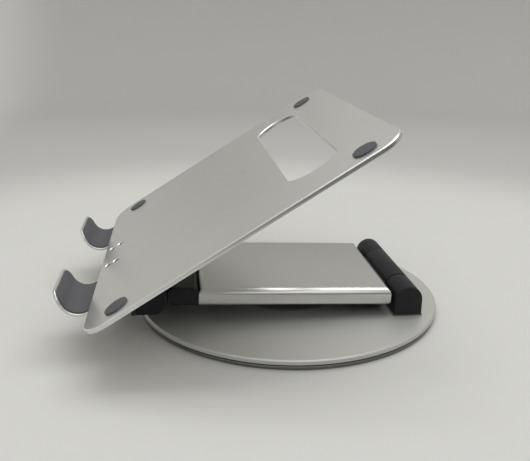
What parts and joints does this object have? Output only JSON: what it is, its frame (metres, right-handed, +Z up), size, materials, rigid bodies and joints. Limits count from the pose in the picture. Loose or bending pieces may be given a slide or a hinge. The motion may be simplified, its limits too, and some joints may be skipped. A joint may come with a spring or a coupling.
{
  "type": "laptop stand",
  "caption": "Swivelling laptop stand: round turntable base, flat arm on a friction hinge, and a windowed tilting tray with lined front hooks and rubber pads.",
  "frame": {"origin": "centre of the base on the desk, under the swivel axis", "axes": "+Z up, -Y towards the user, where the tray's hooks are, +X to the user's right"},
  "size_m": [0.256, 0.2787, 0.1533],
  "materials": {
    "ballast_steel": "dark satin, brushed round",
    "foot_rubber": "matt black",
    "bearing_steel": "ground",
    "cage_brass": "turned",
    "ball_chrome": "polished",
    "fastener_steel": "zinc plated",
    "deck_aluminium": "fine blasted, clear anodised",
    "foot_plate_steel": "dark satin",
    "hinge_black": "fine matt texture",
    "pin_steel": "ground",
    "washer_steel": "oiled spring steel",
    "arm_aluminium": "drawn, clear anodised",
    "bush_brass": "turned",
    "tray_aluminium": "fine blasted, clear anodised, bright cut edges",
    "pad_rubber": "matt dark grey",
    "bracket_black": "matt powder coat",
    "bracket_screw_steel": "bright"
  },
  "bodies": {
    "base": {"ballast_plate": "ballast_steel", "foot_ring": "foot_rubber", "centre_foot": "foot_rubber", "swivel_spigot": "bearing_steel", "lower_race": "bearing_steel", "ball_cage": "cage_brass", "bearing_balls": "ball_chrome", "keeper_washer": "bearing_steel", "swivel_screw": "fastener_steel"},
    "turntable": {"turntable": "deck_aluminium", "upper_race": "bearing_steel", "centre_cap": "deck_aluminium", "rear_foot": "foot_plate_steel", "rear_blocks": "hinge_black", "rear_block_screws": "fastener_steel", "rear_pin": "pin_steel", "rear_washers": "washer_steel"},
    "arm": {"arm_tube": "arm_aluminium", "arm_tail": "hinge_black", "arm_nose": "hinge_black", "tail_bush": "bush_brass", "nose_bush": "bush_brass", "arm_screws": "fastener_steel"},
    "tray": {"tray": "tray_aluminium", "hooks": "tray_aluminium", "hook_liners": "pad_rubber", "tray_pads": "pad_rubber", "tray_bracket": "bracket_black", "front_blocks": "hinge_black", "front_block_screws": "fastener_steel", "front_pin": "pin_steel", "front_washers": "washer_steel", "bracket_screws": "bracket_screw_steel"}
  },
  "joints": [
    {"name": "swivel", "type": "hinge", "parent": "base", "child": "turntable", "pos_m": [0, 0, 0.005], "axis": [0, 0, 1], "continuous": true},
    {"name": "arm_lift", "type": "hinge", "parent": "turntable", "child": "arm", "pos_m": [0, 0.0805, 0.0195], "axis": [-1, 0, 0], "range_deg": [0, 60]},
    {"name": "tray_tilt", "type": "hinge", "parent": "arm", "child": "tray", "pos_m": [0, -0.10267, 0.02638], "axis": [1, 0, 0], "range_deg": [-34.35, 30]}
  ]
}
